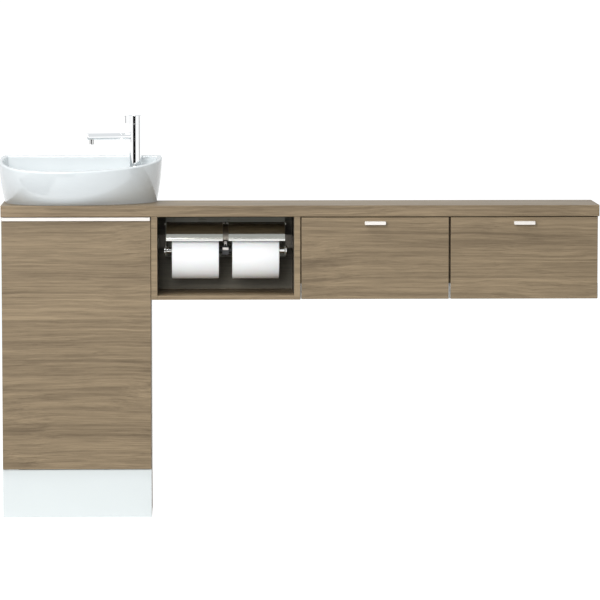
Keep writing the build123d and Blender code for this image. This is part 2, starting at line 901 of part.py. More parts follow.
def holder_arm(x0, x1, bore):
    start = Plane(origin=(x0, 0, 0), x_dir=(0, 1, 0), z_dir=(1, 0, 0))
    plate = extrude(start * arm_profile(), amount=x1 - x0)
    plate -= rod((x0 - 1, hinge_at.Y, hinge_at.Z), (x1 + 1, hinge_at.Y, hinge_at.Z), hinge_rod_radius)
    if bore:
        plate -= rod((x0 - 1, spindle_y, spindle_height), (x1 + 1, spindle_y, spindle_height), bore)
    return plate


def holder_frame():
    foot = spindle_height - back_foot_drop
    back = block(
        holder_left, holder_right, -holder_back_depth, -holder_back_depth + holder_sheet,
        foot, counter_foot - back_head_gap,
    )
    lip = block(
        holder_left, holder_right, -holder_back_depth - holder_lip, -holder_back_depth,
        foot, foot + holder_sheet,
    )
    left = holder_arm(holder_left, holder_left + holder_sheet, arm_bore)
    right = holder_arm(holder_right - holder_sheet, holder_right, arm_bore)
    return back + lip + left + right


def holder_bracket(side):
    wall = niche_left + board if side < 0 else niche_left + unit_width - board
    end = holder_left if side < 0 else holder_right
    back = -holder_back_depth + holder_sheet
    front = -holder_back_depth - wing_flange
    top = spindle_height + wing_head_rise
    foot = top - wing_height
    wall_leaf = block(wall, wall - side * holder_sheet, front, back, foot, top)
    web = block(wall, end, -holder_back_depth, back, foot, top)
    arm_leaf = block(end, end + side * holder_sheet, front, back, foot, top)
    return wall_leaf + web + arm_leaf


def centre_arm():
    x0, x1 = niche_middle - rib_width / 2, niche_middle + rib_width / 2
    half = centre_arm_sheet / 2
    plate = holder_arm(niche_middle - half, niche_middle + half, 0)
    run = cover_top_run - hinge_rod_radius - rib_rod_gap
    rib = cover_strip(x0, x1, holder_sheet, cover_lip_angle, run)
    return plate + rib


def spindle_block():
    x0, x1 = niche_middle - block_width / 2, niche_middle + block_width / 2
    body = block(
        x0, x1, spindle_y - block_depth / 2, spindle_y + block_depth / 2,
        spindle_height - block_height / 2, spindle_height + block_height / 2,
    )
    body = rounded(body, 2.5, Axis.X)
    half = centre_arm_sheet / 2
    body -= holder_arm(niche_middle - half, niche_middle + half, 0)
    for side in (-1, 1):
        start = niche_middle + side * block_width / 2
        end = niche_middle + side * (paper_spacing - paper_width) / 2 + side * spindle_grip
        spindle = rod((start, spindle_y, spindle_height), (end, spindle_y, spindle_height), spindle_radius)
        tip = spindle.faces().sort_by_distance(Vector(end, spindle_y, spindle_height))[0].edges()
        body += chamfer(tip, 3.0)
    return body


def spindle_tip(side):
    arm_outside = niche_middle + side * cover_span / 2
    paper_end = niche_middle + side * (paper_spacing + paper_width) / 2
    nose = paper_end - side * spindle_grip
    head = arm_outside + side * pivot_play
    bar = rod((head, spindle_y, spindle_height), (nose, spindle_y, spindle_height), spindle_radius)
    tip = bar.faces().sort_by_distance(Vector(nose, spindle_y, spindle_height))[0].edges()
    bar = chamfer(tip, 4.0)
    end = head + side * tip_head
    return bar + rod((head, spindle_y, spindle_height), (end, spindle_y, spindle_height), tip_head_radius)


def paper_roll(side):
    middle = niche_middle + side * paper_spacing / 2
    x0, x1 = middle - paper_width / 2, middle + paper_width / 2
    inner = core_bore + core_sheet
    paper = rod((x0, spindle_y, roll_z), (x1, spindle_y, roll_z), paper_radius)
    paper -= rod((x0 - 1, spindle_y, roll_z), (x1 + 1, spindle_y, roll_z), inner)
    core = rod((x0, spindle_y, roll_z), (x1, spindle_y, roll_z), inner)
    core -= rod((x0 - 1, spindle_y, roll_z), (x1 + 1, spindle_y, roll_z), core_bore)
    return paper, core


# Writing every piece

save("counter", counter())
floor_cabinet()
niche()
cabinet_lefts = {"cabinet_a": 2 * unit_pitch, "cabinet_b": 3 * unit_pitch}
for name, left in cabinet_lefts.items():
    hung_cabinet(name, left)
rails = [rail for left in cabinet_lefts.values() for rail in top_rails(left)]
save("cabinet_top_rails", Compound(children=rails))
magnets = [magnet(base_catch_x)]
magnets += [magnet(left + unit_width / 2) for left in cabinet_lefts.values()]
save("catch_magnets", Compound(children=magnets))
brackets = [
    pivot_bracket(base_foot_frame, door_side_reveal, door_foot_reveal),
    pivot_bracket(base_head_frame, door_side_reveal, door_head_reveal),
]
for left in cabinet_lefts.values():
    for right_end in (False, True):
        frame = flap_frame(left, right_end)
        brackets.append(pivot_bracket(frame, flap_foot_reveal, flap_end_reveal))
save("pivot_brackets", Compound(children=brackets))

save("basin", basin())
save("drain_flange", drain_flange())
drain_nut_z = counter_foot - lock_nut_height
tap_nut_z = deck_z - deck_shell - tap_nut_height
save("lock_nuts", Compound(children=[
    ring_nut(
        drain_at.X, drain_at.Y, drain_nut_z, lock_nut_height,
        lock_nut_radius, drain_tube_radius + pipe_fit, 6,
    ),
    ring_nut(
        tap_at.X, tap_at.Y, tap_nut_z, tap_nut_height,
        tap_nut_radius, shank_radius + pipe_fit, 6,
    ),
]))
save("tailpiece", tailpiece())
save("trap_bend", trap_bend())
save("waste_arm", waste_arm())
save("pipe_nuts", Compound(children=pipe_nuts()))
save("escutcheons", Compound(children=[
    escutcheon(waste_x, waste_z, pipe_radius + pipe_fit),
    escutcheon(valve_x, valve_height, valve_body_radius - valve_neck_step + pipe_fit),
]))
save("tap_body", tap_body())
save("tap_spout", tap_spout())
save("tap_aerator", tap_aerator())
save("tap_handle", tap_handle())
save("stop_valve", stop_valve())
save("stop_valve_knob", stop_valve_knob())
save("supply_pipe", pipe(supply_path(), supply_radius, supply_bore))
save("supply_nuts", Compound(children=supply_nuts()))

save("holder_frame", holder_frame())
save("holder_brackets", Compound(children=[holder_bracket(-1), holder_bracket(1)]))
save("holder_centre_arm", centre_arm())
save("holder_spindle_block", spindle_block())
save("holder_hinge_rod", rod(
    (holder_left - rod_end_stand, hinge_at.Y, hinge_at.Z),
    (holder_right + rod_end_stand, hinge_at.Y, hinge_at.Z),
    hinge_rod_radius,
))
rib_edge = rib_width / 2 + rib_air
save("holder_cover_left", cover(holder_left + holder_sheet + pivot_play, niche_middle - rib_edge))
save("holder_cover_right", cover(niche_middle + rib_edge, holder_right - holder_sheet - pivot_play))
for side, word in ((-1, "left"), (1, "right")):
    save(f"spindle_tip_{word}", spindle_tip(side))
    paper, core = paper_roll(side)
    save(f"paper_{word}", paper)
    save(f"paper_core_{word}", core)
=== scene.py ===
from math import cos, pi, radians, sin

import bmesh
import bpy
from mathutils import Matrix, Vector


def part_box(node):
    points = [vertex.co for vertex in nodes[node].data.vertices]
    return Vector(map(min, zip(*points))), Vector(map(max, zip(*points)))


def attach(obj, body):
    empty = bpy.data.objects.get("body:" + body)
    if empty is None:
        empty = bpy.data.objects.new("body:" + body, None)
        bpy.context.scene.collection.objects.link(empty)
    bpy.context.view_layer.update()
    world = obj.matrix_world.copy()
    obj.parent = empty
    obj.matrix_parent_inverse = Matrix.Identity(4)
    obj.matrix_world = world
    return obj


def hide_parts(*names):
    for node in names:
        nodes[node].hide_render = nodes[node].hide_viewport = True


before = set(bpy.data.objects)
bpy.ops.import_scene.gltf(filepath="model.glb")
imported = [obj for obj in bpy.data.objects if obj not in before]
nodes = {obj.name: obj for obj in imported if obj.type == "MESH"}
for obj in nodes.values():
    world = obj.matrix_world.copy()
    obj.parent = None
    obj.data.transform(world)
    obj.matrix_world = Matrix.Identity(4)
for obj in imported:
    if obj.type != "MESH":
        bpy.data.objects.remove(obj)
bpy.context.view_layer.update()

scene = bpy.context.scene


# Camera, floor and light

view = {
    "target": (0.7175, -0.2, 0.5272),
    "standsAt": 0.48,  # along the wall, level with the left part of the niche
    "pitch": 5.2,  # degrees down
    "distance": 9.0,
    "lens": 224.4,
    "sensor": 36,
    "clipEnd": 900,
}

studio = {
    "floorSize": 500.0,
    "floorMiddle": (0.7, 0, 0),
    "floorColour": (0.75, 0.76, 0.77),
    "paleLift": 0.95,  # keeps the floor pale where it meets the camera
    "worldColour": (0.95, 0.98, 1.0),
    "worldStrength": 0.42,
    "mirrorStrength": 0.85,  # what polished metal mirrors
    "shadowTone": 0.3,  # how much of the light that falls on the pale floor is seen
    "lamps": {  # place, aim, size, power and colour
        "topLight": ((-0.4, -0.9, 3.4), (0.6, -0.1, 0.7), 1.8, 52.0, (1, 0.99, 0.97)),
        "frontLight": ((-0.7, -4.6, 1.95), (0.6, -0.2, 0.6), 2.6, 145.0, (1, 0.995, 0.985)),
    },
    "flags": {  # black cards that polished metal mirrors: middle, width and height, turn
        "blackFlagFront": ((-0.165, -1.75, 0.66), (1.57, 1.32), (pi / 2, 0, 0)),
        "blackFlagLow": ((-1.42, -1.75, 0.28), (0.95, 0.56), (pi / 2, 0, 0)),
        "blackFlagFloor": ((-1.0, -1.05, 0.004), (1.8, 1.4), (0, 0, 0)),
        "blackFlagSide": ((2.3, -0.36, 0.75), (0.42, 0.9), (pi / 2, 0, pi / 2)),
    },
}


def placeCamera():
    pitch = radians(view["pitch"])
    target = Vector(view["target"])
    back = Vector((0, -cos(pitch), sin(pitch))) * view["distance"]
    place = target + back
    place.x = view["standsAt"]
    look = target - place
    camera = bpy.data.cameras.new("photoView")
    camera.lens = view["lens"]
    camera.sensor_width = view["sensor"]
    camera.clip_end = view["clipEnd"]
    holder = bpy.data.objects.new("photoView", camera)
    holder.location = place
    holder.rotation_euler = look.to_track_quat("-Z", "Y").to_euler()
    scene.collection.objects.link(holder)
    scene.camera = holder


def areaLight(name, place, aim, size, power, colour):
    lamp = bpy.data.lights.new(name, "AREA")
    lamp.shape = "DISK"
    lamp.size = size
    lamp.energy = power
    lamp.color = colour
    holder = bpy.data.objects.new(name, lamp)
    holder.location = place
    holder.rotation_euler = (Vector(aim) - Vector(place)).to_track_quat("-Z", "Y").to_euler()
    scene.collection.objects.link(holder)


def selectNone():
    if bpy.context.object and bpy.context.object.mode != "OBJECT":
        bpy.ops.object.mode_set(mode="OBJECT")
    bpy.ops.object.select_all(action="DESELECT")


def setStudio():
    scene.view_settings.view_transform = "Standard"
    world = bpy.data.worlds.new("studio")
    world.use_nodes = True
    tree = world.node_tree
    sky = tree.nodes["Background"]
    mirrored = tree.nodes.new("ShaderNodeBackground")
    for shade, strength in ((sky, "worldStrength"), (mirrored, "mirrorStrength")):
        shade.inputs["Color"].default_value = (*studio["worldColour"], 1)
        shade.inputs["Strength"].default_value = studio[strength]
    path = tree.nodes.new("ShaderNodeLightPath")
    choose = tree.nodes.new("ShaderNodeMixShader")
    tree.links.new(path.outputs["Is Glossy Ray"], choose.inputs["Fac"])
    tree.links.new(sky.outputs[0], choose.inputs[1])
    tree.links.new(mirrored.outputs[0], choose.inputs[2])
    tree.links.new(choose.outputs[0], tree.nodes["World Output"].inputs["Surface"])
    scene.world = world
    for name, lamp in studio["lamps"].items():
        areaLight(name, *lamp)
    layFloor()
    hangFlags()


def layFloor():
    selectNone()
    bpy.ops.mesh.primitive_plane_add(size=studio["floorSize"], location=studio["floorMiddle"])
    floor = bpy.context.object
    floor.name = "floor"
    paper = bpy.data.materials.new("floorPaper")
    paper.use_nodes = True
    tree = paper.node_tree
    shader = tree.nodes["Principled BSDF"]
    shader.inputs["Base Color"].default_value = (*studio["floorColour"], 1)
    shader.inputs["Roughness"].default_value = 0.95
    shader.inputs["Specular IOR Level"].default_value = 0.0
    pale = tree.nodes.new("ShaderNodeEmission")
    pale.inputs["Strength"].default_value = studio["paleLift"]
    dim = tree.nodes.new("ShaderNodeBsdfDiffuse")
    dim.inputs["Color"].default_value = (*[studio["shadowTone"]] * 3, 1)
    lifted = tree.nodes.new("ShaderNodeAddShader")
    tree.links.new(pale.outputs[0], lifted.inputs[0])
    tree.links.new(dim.outputs[0], lifted.inputs[1])
    path = tree.nodes.new("ShaderNodeLightPath")
    choose = tree.nodes.new("ShaderNodeMixShader")
    seen = tree.nodes.new("ShaderNodeMath")
    seen.operation = "MAXIMUM"
    tree.links.new(path.outputs["Is Camera Ray"], seen.inputs[0])
    tree.links.new(path.outputs["Is Glossy Ray"], seen.inputs[1])
    tree.links.new(seen.outputs[0], choose.inputs["Fac"])
    tree.links.new(shader.outputs[0], choose.inputs[1])
    tree.links.new(lifted.outputs[0], choose.inputs[2])
    tree.links.new(choose.outputs[0], tree.nodes["Material Output"].inputs["Surface"])
    floor.data.materials.append(paper)


def hangFlags():
    felt = bpy.data.materials.new("blackFelt")
    felt.use_nodes = True
    shader = felt.node_tree.nodes["Principled BSDF"]
    shader.inputs["Base Color"].default_value = (0.004, 0.004, 0.004, 1)
    shader.inputs["Roughness"].default_value = 1.0
    shader.inputs["Specular IOR Level"].default_value = 0.0
    for name, (middle, (wide, high), turn) in studio["flags"].items():
        selectNone()
        bpy.ops.mesh.primitive_plane_add(size=1, location=middle, rotation=turn)
        flag = bpy.context.object
        flag.name = name
        flag.scale = (wide, high, 1)
        flag.visible_camera = False
        flag.visible_diffuse = False
        flag.visible_shadow = False
        flag.visible_transmission = False
        flag.data.materials.append(felt)


placeCamera()
setStudio()
print("camera, floor and light are set")


# Shader node groups that several finishes share

def addNode(tree, kind, inputs=None, **settings):
    node = tree.nodes.new(kind)
    for name, value in settings.items():
        setattr(node, name, value)
    for name, value in (inputs or {}).items():
        node.inputs[name].default_value = value
    return node


def maths(tree, operation, first, second=None, third=None):
    node = tree.nodes.new("ShaderNodeMath")
    node.operation = operation
    for slot, value in enumerate((first, second, third)):
        if value is None:
            continue
        if isinstance(value, (int, float)):
            node.inputs[slot].default_value = value
        else:
            tree.links.new(value, node.inputs[slot])
    return node.outputs[0]


def stretched(tree, vector, scale):
    node = addNode(tree, "ShaderNodeVectorMath", operation="MULTIPLY")
    tree.links.new(vector, node.inputs[0])
    node.inputs[1].default_value = scale
    return node.outputs[0]


def noise(tree, vector, scale, detail=2.0, roughness=0.5):
    node = addNode(tree, "ShaderNodeTexNoise", {
        "Scale": scale, "Detail": detail, "Roughness": roughness,
    })
    tree.links.new(vector, node.inputs["Vector"])
    return node.outputs["Fac"]


def spread(tree, value, low, high, floorValue=0.0, topValue=1.0):
    node = addNode(tree, "ShaderNodeMapRange", {
        "From Min": low, "From Max": high, "To Min": floorValue, "To Max": topValue,
    })
    tree.links.new(value, node.inputs["Value"])
    return node.outputs["Result"]


def blendColour(tree, factor, first, second):
    node = addNode(tree, "ShaderNodeMix", data_type="RGBA")
    for name, value in (("Factor", factor), ("A", first), ("B", second)):
        sockets = [s for s in node.inputs if s.name == name and s.enabled]
        if isinstance(value, tuple):
            sockets[0].default_value = (*value, 1)
        else:
            tree.links.new(value, sockets[0])
    return [s for s in node.outputs if s.enabled][0]


def newGroup(name, inputs, outputs):
    group = bpy.data.node_groups.new(name, "ShaderNodeTree")
    for label, kind, value in inputs:
        made = group.interface.new_socket(label, in_out="INPUT", socket_type=kind)
        if value is not None:
            made.default_value = value
    for label, kind in outputs:
        group.interface.new_socket(label, in_out="OUTPUT", socket_type=kind)
    return group, group.nodes.new("NodeGroupInput"), group.nodes.new("NodeGroupOutput")


woodGrain = {
    # how close the layers of the figure lie along x, y and z
    "slow": (1.6, 5.0, 5.0), "quick": (7.0, 20.0, 20.0),
    "broad": (0.9, 18.0, 18.0), "bands": (1.8, 125.0, 125.0),
    "fibre": (12.0, 520.0, 520.0), "pores": (55.0, 1500.0, 1500.0),
    # how much each layer adds to the tone
    "share": {"broad": 0.9, "bands": 1.6, "fibre": 0.95, "pores": -0.22},
    "quickWave": 0.008,
    "poreFrom": 0.62, "poreTo": 0.72, "poreDepth": -0.8,
    "sheen": (0.06, -0.04),  # change of roughness from dark to light bands
}


def makeWoodGroup():
    group, given, result = newGroup(
        "woodFigure",
        [
            ("Vector", "NodeSocketVector", None), ("Light", "NodeSocketColor", (1, 1, 1, 1)),
            ("Dark", "NodeSocketColor", (0, 0, 0, 1)), ("Wave", "NodeSocketFloat", 0.03),
        ],
        [("Color", "NodeSocketColor"), ("Height", "NodeSocketFloat"), ("Sheen", "NodeSocketFloat")],
    )
    place = given.outputs["Vector"]
    slow = noise(group, stretched(group, place, woodGrain["slow"]), 1.0, 1.0)
    quick = noise(group, stretched(group, place, woodGrain["quick"]), 1.0, 1.0)
    lift = maths(group, "MULTIPLY", maths(group, "SUBTRACT", slow, 0.5), given.outputs["Wave"])
    ripple = maths(group, "MULTIPLY", maths(group, "SUBTRACT", quick, 0.5), woodGrain["quickWave"])
    lift = maths(group, "ADD", lift, ripple)
    push = addNode(group, "ShaderNodeCombineXYZ")
    group.links.new(lift, push.inputs["Y"])
    group.links.new(lift, push.inputs["Z"])
    warped = addNode(group, "ShaderNodeVectorMath", operation="ADD")
    group.links.new(place, warped.inputs[0])
    group.links.new(push.outputs[0], warped.inputs[1])
    flow = warped.outputs[0]
    broad = noise(group, stretched(group, flow, woodGrain["broad"]), 1.0, 2.0)
    bands = noise(group, stretched(group, flow, woodGrain["bands"]), 1.0, 3.0, 0.62)
    fibre = noise(group, stretched(group, flow, woodGrain["fibre"]), 1.0, 2.0, 0.6)
    pores = noise(group, stretched(group, flow, woodGrain["pores"]), 1.0, 1.0)
    share = woodGrain["share"]
    tone = 0.5
    for layer, weight in ((broad, share["broad"]), (bands, share["bands"]), (fibre, share["fibre"])):
        tone = maths(group, "MULTIPLY_ADD", maths(group, "SUBTRACT", layer, 0.5), weight, tone)
    pore = spread(group, pores, woodGrain["poreFrom"], woodGrain["poreTo"])
    tone = maths(group, "MULTIPLY_ADD", pore, share["pores"], tone)
    clamped = addNode(group, "ShaderNodeClamp")
    group.links.new(tone, clamped.inputs["Value"])
    colour = blendColour(group, clamped.outputs[0], given.outputs["Dark"], given.outputs["Light"])
    group.links.new(colour, result.inputs["Color"])
    height = maths(group, "MULTIPLY_ADD", pore, woodGrain["poreDepth"], fibre)
    group.links.new(height, result.inputs["Height"])
    group.links.new(spread(group, bands, 0.3, 0.7, *woodGrain["sheen"]), result.inputs["Sheen"])
    return group


handling = {
    "detail": 4.0, "roughness": 0.6,
    "from": 0.35, "to": 0.7,  # where the marks begin and where they are full
    "fine": 900.0,  # size of the fine grain
}


def makeSmudgeGroup():
    group, given, result = newGroup(
        "handlingMarks",
        [
            ("Vector", "NodeSocketVector", None), ("Roughness", "NodeSocketFloat", 0.3),
            ("Spread", "NodeSocketFloat", 0.1), ("Scale", "NodeSocketFloat", 20.0),
        ],
        [("Roughness", "NodeSocketFloat"), ("Mask", "NodeSocketFloat"), ("Height", "NodeSocketFloat")],
    )
    cloud = addNode(group, "ShaderNodeTexNoise", {
        "Detail": handling["detail"], "Roughness": handling["roughness"],
    })
    group.links.new(given.outputs["Vector"], cloud.inputs["Vector"])
    group.links.new(given.outputs["Scale"], cloud.inputs["Scale"])
    fine = noise(group, given.outputs["Vector"], handling["fine"])
    mask = spread(group, cloud.outputs["Fac"], handling["from"], handling["to"])
    swing = maths(group, "MULTIPLY", maths(group, "SUBTRACT", mask, 0.5), given.outputs["Spread"])
    group.links.new(maths(group, "ADD", given.outputs["Roughness"], swing), result.inputs["Roughness"])
    group.links.new(mask, result.inputs["Mask"])
    group.links.new(fine, result.inputs["Height"])
    return group


woodFigure = makeWoodGroup()
handlingMarks = makeSmudgeGroup()


# Finishes

def newFinish(name, **values):
    finish = bpy.data.materials.new(name)
    finish.use_nodes = True
    tree = finish.node_tree
    shader = tree.nodes["Principled BSDF"]
    for label, value in values.items():
        shader.inputs[label.replace("_", " ")].default_value = value
    place = addNode(tree, "ShaderNodeTexCoord")
    return finish, tree, shader, place.outputs["Object"]


def useGroup(tree, group, vector, inputs):
    node = addNode(tree, "ShaderNodeGroup", inputs, node_tree=group)
    tree.links.new(vector, node.inputs["Vector"])
    return node


def bumpInto(tree, shader, height, strength, distance):
    bump = addNode(tree, "ShaderNodeBump", {"Strength": strength, "Distance": distance})
    tree.links.new(height, bump.inputs["Height"])
    tree.links.new(bump.outputs[0], shader.inputs["Normal"])


laminate = {
    "light": (0.325, 0.245, 0.151),
    "dark": (0.136, 0.098, 0.058),
    # painted shade: darker copies of the laminate colours for the niche's inner faces
    "paintedShadeLight": (0.185, 0.168, 0.130),
    "paintedShadeDark": (0.096, 0.090, 0.072),
    "wave": 0.042,
    "paintedShadeWave": 0.01,
    "roughness": 0.42,
    "gloss": 0.25,
    "pore": 0.00012,
    "poreStrength": 0.35,
    "turnAt": 0.7,  # past this, a face looks sideways and its grain runs along y
}


def woodFinish(name, shift, inside=None):
    # inside: the lowest and highest corner of a zone whose faces get painted shade, a darker copy of
    # the laminate
    finish, tree, shader, place = newFinish(
        name, Roughness=laminate["roughness"], Specular_IOR_Level=laminate["gloss"],
    )
    parts = addNode(tree, "ShaderNodeSeparateXYZ")
    tree.links.new(place, parts.inputs[0])
    turned = addNode(tree, "ShaderNodeCombineXYZ")
    tree.links.new(parts.outputs["Y"], turned.inputs["X"])
    tree.links.new(parts.outputs["X"], turned.inputs["Y"])
    tree.links.new(parts.outputs["Z"], turned.inputs["Z"])
    facing = addNode(tree, "ShaderNodeNewGeometry")
    sides = addNode(tree, "ShaderNodeSeparateXYZ")
    ownSide = addNode(  # the grain stays put when a door or flap turns
        tree, "ShaderNodeVectorTransform",
        vector_type="NORMAL", convert_from="WORLD", convert_to="OBJECT",
    )
    tree.links.new(facing.outputs["True Normal"], ownSide.inputs[0])
    tree.links.new(ownSide.outputs[0], sides.inputs[0])
    sideways = maths(
        tree, "GREATER_THAN", maths(tree, "ABSOLUTE", sides.outputs["X"]), laminate["turnAt"],
    )
    along = addNode(tree, "ShaderNodeMix", data_type="VECTOR")
    tree.links.new(sideways, along.inputs["Factor"])
    tree.links.new(place, along.inputs[4])
    tree.links.new(turned.outputs[0], along.inputs[5])
    moved = addNode(tree, "ShaderNodeMapping")
    moved.inputs["Location"].default_value = shift
    tree.links.new(along.outputs[1], moved.inputs["Vector"])
    figure = useGroup(tree, woodFigure, moved.outputs[0], {
        "Light": (*laminate["light"], 1), "Dark": (*laminate["dark"], 1), "Wave": laminate["wave"],
    })
    colour = figure.outputs["Color"]
    # the niche's inner faces get painted shade: the same figure in darker colours
    if inside:
        dim = useGroup(tree, woodFigure, moved.outputs[0], {
            "Light": (*laminate["paintedShadeLight"], 1), "Dark": (*laminate["paintedShadeDark"], 1),
            "Wave": laminate["paintedShadeWave"],
        })
        within = 1.0
        for axis, low, high in zip("XYZ", inside[0], inside[1]):
            above = maths(tree, "GREATER_THAN", parts.outputs[axis], low)
            paintedHighlightBelow = maths(tree, "LESS_THAN", parts.outputs[axis], high)
            within = maths(tree, "MULTIPLY", within, maths(tree, "MULTIPLY", above, paintedHighlightBelow))
        colour = blendColour(tree, within, colour, dim.outputs["Color"])
    tree.links.new(colour, shader.inputs["Base Color"])
    rough = maths(tree, "ADD", figure.outputs["Sheen"], laminate["roughness"])
    tree.links.new(rough, shader.inputs["Roughness"])
    bumpInto(tree, shader, figure.outputs["Height"], laminate["poreStrength"], laminate["pore"])
    return finish


grainStrength = 0.3  # how much the fine grain of a plain finish shows


def plainFinish(name, colour, roughness, vary, scale, grain, tint, **values):
    finish, tree, shader, place = newFinish(name, Roughness=roughness, **values)
    marks = useGroup(tree, handlingMarks, place, {
        "Roughness": roughness, "Spread": vary, "Scale": scale,
    })
    tree.links.new(marks.outputs["Roughness"], shader.inputs["Roughness"])
    duller = tuple(c * tint for c in colour)
    shade = blendColour(tree, marks.outputs["Mask"], colour, duller)
    tree.links.new(shade, shader.inputs["Base Color"])
    if grain:
        bumpInto(tree, shader, marks.outputs["Height"], grainStrength, grain)
    return finish


brushing = {
    "marksSpread": 0.05, "marksScale": 30.0,
    "detail": 3.0, "roughness": 0.6,
    "swing": 0.1,  # change of roughness from line to line
    "dark": 0.88,  # share of the colour in the darker lines
    "from": 0.35, "to": 0.65,
    "strength": 0.25,
}


def brushedFinish(name, colour, roughness, line, depth, metallic=1.0, paintedHighlightBelow=None):
    # line: how fine the brushing is along x, y and z
    # the last argument: a height, the colour of a painted highlight under it and how much less
    # metallic that stretch is
    finish, tree, shader, place = newFinish(name, Metallic=metallic, Roughness=roughness)
    marks = useGroup(tree, handlingMarks, place, {
        "Roughness": roughness, "Spread": brushing["marksSpread"], "Scale": brushing["marksScale"],
    })
    stretch = stretched(tree, place, line)
    lines = noise(tree, stretch, 1.0, brushing["detail"], brushing["roughness"])
    centred = maths(tree, "SUBTRACT", lines, 0.5)
    swing = maths(tree, "MULTIPLY_ADD", centred, brushing["swing"], marks.outputs["Roughness"])
    tree.links.new(swing, shader.inputs["Roughness"])
    dark = tuple(c * brushing["dark"] for c in colour)
    shade = blendColour(tree, spread(tree, lines, brushing["from"], brushing["to"]), dark, colour)
    if paintedHighlightBelow:
        parts = addNode(tree, "ShaderNodeSeparateXYZ")
        tree.links.new(place, parts.inputs[0])
        height, paintedHighlightColour, lessMetallic = paintedHighlightBelow
        under = maths(tree, "LESS_THAN", parts.outputs["Z"], height)
        metal = maths(tree, "MULTIPLY_ADD", under, -lessMetallic, metallic)
        tree.links.new(metal, shader.inputs["Metallic"])
        shade = blendColour(tree, under, shade, paintedHighlightColour)
    tree.links.new(shade, shader.inputs["Base Color"])
    bumpInto(tree, shader, lines, brushing["strength"], depth)
    return finish


tissue = {
    "shade": (0.86, 0.87, 0.88), "light": (0.95, 0.955, 0.96),
    "roughness": 0.95, "gloss": 0.15, "glow": 0.1, "glowDepth": 0.004,
    "fluff": 700.0, "crepe": (2600.0, 260.0, 260.0), "crepeShare": 0.6,
    "strength": 0.35, "depth": 0.0004,
}


def paperFinish():
    finish, tree, shader, place = newFinish(
        "tissuePaper", Roughness=tissue["roughness"], Specular_IOR_Level=tissue["gloss"],
        Subsurface_Weight=tissue["glow"], Subsurface_Scale=tissue["glowDepth"],
    )
    cloud = noise(tree, place, tissue["fluff"], 3.0, 0.7)
    crepe = noise(tree, stretched(tree, place, tissue["crepe"]), 1.0, 2.0)
    height = maths(tree, "MULTIPLY_ADD", crepe, tissue["crepeShare"], cloud)
    shade = blendColour(tree, cloud, tissue["shade"], tissue["light"])
    tree.links.new(shade, shader.inputs["Base Color"])
    bumpInto(tree, shader, height, tissue["strength"], tissue["depth"])
    return finish


glaze = {
    "shade": (0.66, 0.705, 0.725), "light": (0.71, 0.745, 0.76),
    "roughness": 0.08, "marksRoughness": 0.09, "marksSpread": 0.05, "marksScale": 9.0,
    "gloss": 0.5, "coat": 0.6, "coatRoughness": 0.03,
    "pool": 14.0,  # size of the soft unevenness of the glaze
    "strength": 0.12, "depth": 0.0006,
}


def glazeFinish():
    finish, tree, shader, place = newFinish(
        "whiteGlaze", Roughness=glaze["roughness"], Specular_IOR_Level=glaze["gloss"],
        Coat_Weight=glaze["coat"], Coat_Roughness=glaze["coatRoughness"],
    )
    marks = useGroup(tree, handlingMarks, place, {
        "Roughness": glaze["marksRoughness"], "Spread": glaze["marksSpread"],
        "Scale": glaze["marksScale"],
    })
    tree.links.new(marks.outputs["Roughness"], shader.inputs["Roughness"])
    pool = noise(tree, place, glaze["pool"])
    shade = blendColour(tree, pool, glaze["shade"], glaze["light"])
    tree.links.new(shade, shader.inputs["Base Color"])
    bumpInto(tree, shader, pool, glaze["strength"], glaze["depth"])
    return finish


cardboard = {
    "shade": (0.34, 0.27, 0.19), "light": (0.55, 0.46, 0.34),
    "roughness": 0.9, "gloss": 0.2,
    "fleck": 500.0, "fleckShare": 0.75,
    "wrap": 9.0, "wrapBend": 1.5, "wrapShare": 0.25,  # the seam that winds round the core
    "strength": 0.4, "depth": 0.0003,
}


def boardCore():
    finish, tree, shader, place = newFinish(
        "greyCardboard", Roughness=cardboard["roughness"], Specular_IOR_Level=cardboard["gloss"],
    )
    fleck = noise(tree, place, cardboard["fleck"], 3.0, 0.7)
    wrap = addNode(tree, "ShaderNodeTexWave", {
        "Scale": cardboard["wrap"], "Distortion": cardboard["wrapBend"],
    }, bands_direction="DIAGONAL")
    tree.links.new(place, wrap.inputs["Vector"])
    flecks = maths(tree, "MULTIPLY", fleck, cardboard["fleckShare"])
    tone = maths(tree, "MULTIPLY_ADD", wrap.outputs["Fac"], cardboard["wrapShare"], flecks)
    shade = blendColour(tree, tone, cardboard["shade"], cardboard["light"])
    tree.links.new(shade, shader.inputs["Base Color"])
    bumpInto(tree, shader, fleck, cardboard["strength"], cardboard["depth"])
    return finish


paintedHighlightHeight = 0.0048  # painted highlight: a bright, less metallic stretch along the covers' lower edge
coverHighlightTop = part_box("holder_cover_left")[0].z + paintedHighlightHeight
alongBar = (4.0, 900.0, 900.0)  # brushing that runs along x

